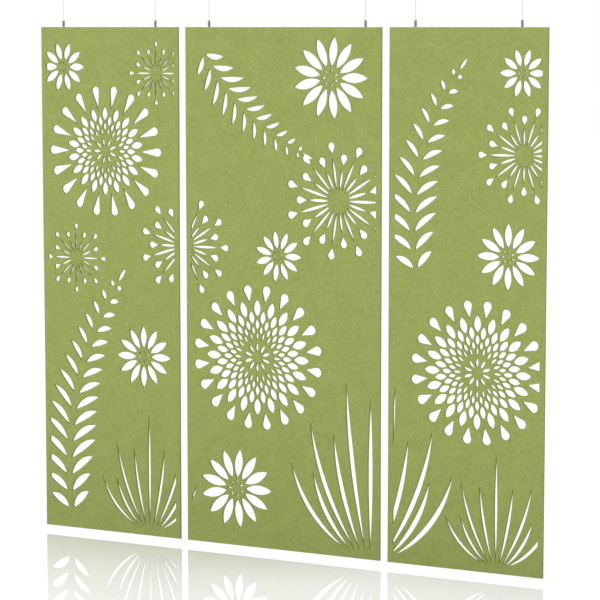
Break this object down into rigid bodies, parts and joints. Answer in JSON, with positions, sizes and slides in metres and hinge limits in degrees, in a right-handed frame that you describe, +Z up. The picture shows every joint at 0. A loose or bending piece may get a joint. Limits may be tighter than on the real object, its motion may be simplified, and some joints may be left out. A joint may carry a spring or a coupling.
{
  "type": "hanging acoustic panel",
  "caption": "Set of tall green felt acoustic panels with a cut-out plant design, hung side by side from the ceiling on thin steel cables with turned metal end fittings.",
  "frame": {"origin": "on the ceiling plane, above the middle of the set, in the plane that halves the felt's thickness", "axes": "+Z up, +X to the right along the set as the picture shows it, +Y away from the viewer"},
  "size_m": [2.62, 0.022, 2.603],
  "materials": {
    "felt": "pressed PET felt, matt, heathered green",
    "satin_aluminium": "turned and satin anodised mid grey",
    "zinc_plated_steel": "turned, zinc plated",
    "stainless_ball": "polished stainless steel",
    "wire_rope": "stranded stainless steel wire"
  },
  "bodies": {
    "ceiling_fittings": {"ceiling_base_1": "zinc_plated_steel", "ceiling_cap_1": "satin_aluminium", "ceiling_base_2": "zinc_plated_steel", "ceiling_cap_2": "satin_aluminium", "ceiling_base_3": "zinc_plated_steel", "ceiling_cap_3": "satin_aluminium", "ceiling_base_4": "zinc_plated_steel", "ceiling_cap_4": "satin_aluminium", "ceiling_base_5": "zinc_plated_steel", "ceiling_cap_5": "satin_aluminium", "ceiling_base_6": "zinc_plated_steel", "ceiling_cap_6": "satin_aluminium"},
    "upper_ball_1": {"top_ball_1": "stainless_ball"},
    "wire_1": {"cable_1": "wire_rope"},
    "lower_ball_1": {"foot_ball_1": "stainless_ball"},
    "upper_ball_2": {"top_ball_2": "stainless_ball"},
    "wire_2": {"cable_2": "wire_rope"},
    "lower_ball_2": {"foot_ball_2": "stainless_ball"},
    "left_board": {"left_panel": "felt", "barrel_1": "satin_aluminium", "barrel_2": "satin_aluminium", "edge_stud_1": "zinc_plated_steel", "edge_stud_2": "zinc_plated_steel"},
    "upper_ball_3": {"top_ball_3": "stainless_ball"},
    "wire_3": {"cable_3": "wire_rope"},
    "lower_ball_3": {"foot_ball_3": "stainless_ball"},
    "upper_ball_4": {"top_ball_4": "stainless_ball"},
    "wire_4": {"cable_4": "wire_rope"},
    "lower_ball_4": {"foot_ball_4": "stainless_ball"},
    "centre_board": {"centre_panel": "felt", "barrel_3": "satin_aluminium", "barrel_4": "satin_aluminium", "edge_stud_3": "zinc_plated_steel", "edge_stud_4": "zinc_plated_steel"},
    "upper_ball_5": {"top_ball_5": "stainless_ball"},
    "wire_5": {"cable_5": "wire_rope"},
    "lower_ball_5": {"foot_ball_5": "stainless_ball"},
    "upper_ball_6": {"top_ball_6": "stainless_ball"},
    "wire_6": {"cable_6": "wire_rope"},
    "lower_ball_6": {"foot_ball_6": "stainless_ball"},
    "right_board": {"right_panel": "felt", "barrel_5": "satin_aluminium", "barrel_6": "satin_aluminium", "edge_stud_5": "zinc_plated_steel", "edge_stud_6": "zinc_plated_steel"}
  },
  "joints": [
    {"name": "left_swing", "type": "hinge", "parent": "ceiling_fittings", "child": "upper_ball_1", "pos_m": [-1.185, 0, -0.0155], "axis": [1, 0, 0], "range_deg": [-15, 15]},
    {"name": "left_sway", "type": "hinge", "parent": "upper_ball_1", "child": "wire_1", "pos_m": [-1.185, 0, -0.0155], "axis": [0, 1, 0], "range_deg": [-8, 8]},
    {"name": "left_level", "type": "hinge", "parent": "wire_1", "child": "lower_ball_1", "pos_m": [-1.185, 0, -0.1385], "axis": [0, 1, 0], "range_deg": [-8, 8]},
    {"name": "left_tilt", "type": "hinge", "parent": "lower_ball_1", "child": "left_board", "pos_m": [-1.185, 0, -0.1385], "axis": [1, 0, 0], "range_deg": [-15, 15]},
    {"name": "left_second_swing", "type": "hinge", "parent": "ceiling_fittings", "child": "upper_ball_2", "pos_m": [-0.673, 0, -0.0155], "axis": [1, 0, 0], "range_deg": [-15, 15]},
    {"name": "left_second_sway", "type": "hinge", "parent": "upper_ball_2", "child": "wire_2", "pos_m": [-0.673, 0, -0.0155], "axis": [0, 1, 0], "range_deg": [-8, 8]},
    {"name": "left_second_level", "type": "hinge", "parent": "wire_2", "child": "lower_ball_2", "pos_m": [-0.673, 0, -0.1385], "axis": [0, 1, 0], "range_deg": [-8, 8]},
    {"name": "centre_swing", "type": "hinge", "parent": "ceiling_fittings", "child": "upper_ball_3", "pos_m": [-0.383, 0, -0.0155], "axis": [1, 0, 0], "range_deg": [-15, 15]},
    {"name": "centre_sway", "type": "hinge", "parent": "upper_ball_3", "child": "wire_3", "pos_m": [-0.383, 0, -0.0155], "axis": [0, 1, 0], "range_deg": [-8, 8]},
    {"name": "centre_level", "type": "hinge", "parent": "wire_3", "child": "lower_ball_3", "pos_m": [-0.383, 0, -0.1385], "axis": [0, 1, 0], "range_deg": [-8, 8]},
    {"name": "centre_tilt", "type": "hinge", "parent": "lower_ball_3", "child": "centre_board", "pos_m": [-0.383, 0, -0.1385], "axis": [1, 0, 0], "range_deg": [-15, 15]},
    {"name": "centre_second_swing", "type": "hinge", "parent": "ceiling_fittings", "child": "upper_ball_4", "pos_m": [0.426, 0, -0.0155], "axis": [1, 0, 0], "range_deg": [-15, 15]},
    {"name": "centre_second_sway", "type": "hinge", "parent": "upper_ball_4", "child": "wire_4", "pos_m": [0.426, 0, -0.0155], "axis": [0, 1, 0], "range_deg": [-8, 8]},
    {"name": "centre_second_level", "type": "hinge", "parent": "wire_4", "child": "lower_ball_4", "pos_m": [0.426, 0, -0.1385], "axis": [0, 1, 0], "range_deg": [-8, 8]},
    {"name": "right_swing", "type": "hinge", "parent": "ceiling_fittings", "child": "upper_ball_5", "pos_m": [0.673, 0, -0.0155], "axis": [1, 0, 0], "range_deg": [-15, 15]},
    {"name": "right_sway", "type": "hinge", "parent": "upper_ball_5", "child": "wire_5", "pos_m": [0.673, 0, -0.0155], "axis": [0, 1, 0], "range_deg": [-8, 8]},
    {"name": "right_level", "type": "hinge", "parent": "wire_5", "child": "lower_ball_5", "pos_m": [0.673, 0, -0.1385], "axis": [0, 1, 0], "range_deg": [-8, 8]},
    {"name": "right_tilt", "type": "hinge", "parent": "lower_ball_5", "child": "right_board", "pos_m": [0.673, 0, -0.1385], "axis": [1, 0, 0], "range_deg": [-15, 15]},
    {"name": "right_second_swing", "type": "hinge", "parent": "ceiling_fittings", "child": "upper_ball_6", "pos_m": [1.185, 0, -0.0155], "axis": [1, 0, 0], "range_deg": [-15, 15]},
    {"name": "right_second_sway", "type": "hinge", "parent": "upper_ball_6", "child": "wire_6", "pos_m": [1.185, 0, -0.0155], "axis": [0, 1, 0], "range_deg": [-8, 8]},
    {"name": "right_second_level", "type": "hinge", "parent": "wire_6", "child": "lower_ball_6", "pos_m": [1.185, 0, -0.1385], "axis": [0, 1, 0], "range_deg": [-8, 8]}
  ],
  "couplings": [
    {"joint": "left_level", "follows": "left_sway", "ratio": -1},
    {"joint": "left_second_swing", "follows": "left_swing", "ratio": 1},
    {"joint": "left_second_sway", "follows": "left_sway", "ratio": 1},
    {"joint": "left_second_level", "follows": "left_sway", "ratio": -1},
    {"joint": "centre_level", "follows": "centre_sway", "ratio": -1},
    {"joint": "centre_second_swing", "follows": "centre_swing", "ratio": 1},
    {"joint": "centre_second_sway", "follows": "centre_sway", "ratio": 1},
    {"joint": "centre_second_level", "follows": "centre_sway", "ratio": -1},
    {"joint": "right_level", "follows": "right_sway", "ratio": -1},
    {"joint": "right_second_swing", "follows": "right_swing", "ratio": 1},
    {"joint": "right_second_sway", "follows": "right_sway", "ratio": 1},
    {"joint": "right_second_level", "follows": "right_sway", "ratio": -1}
  ]
}
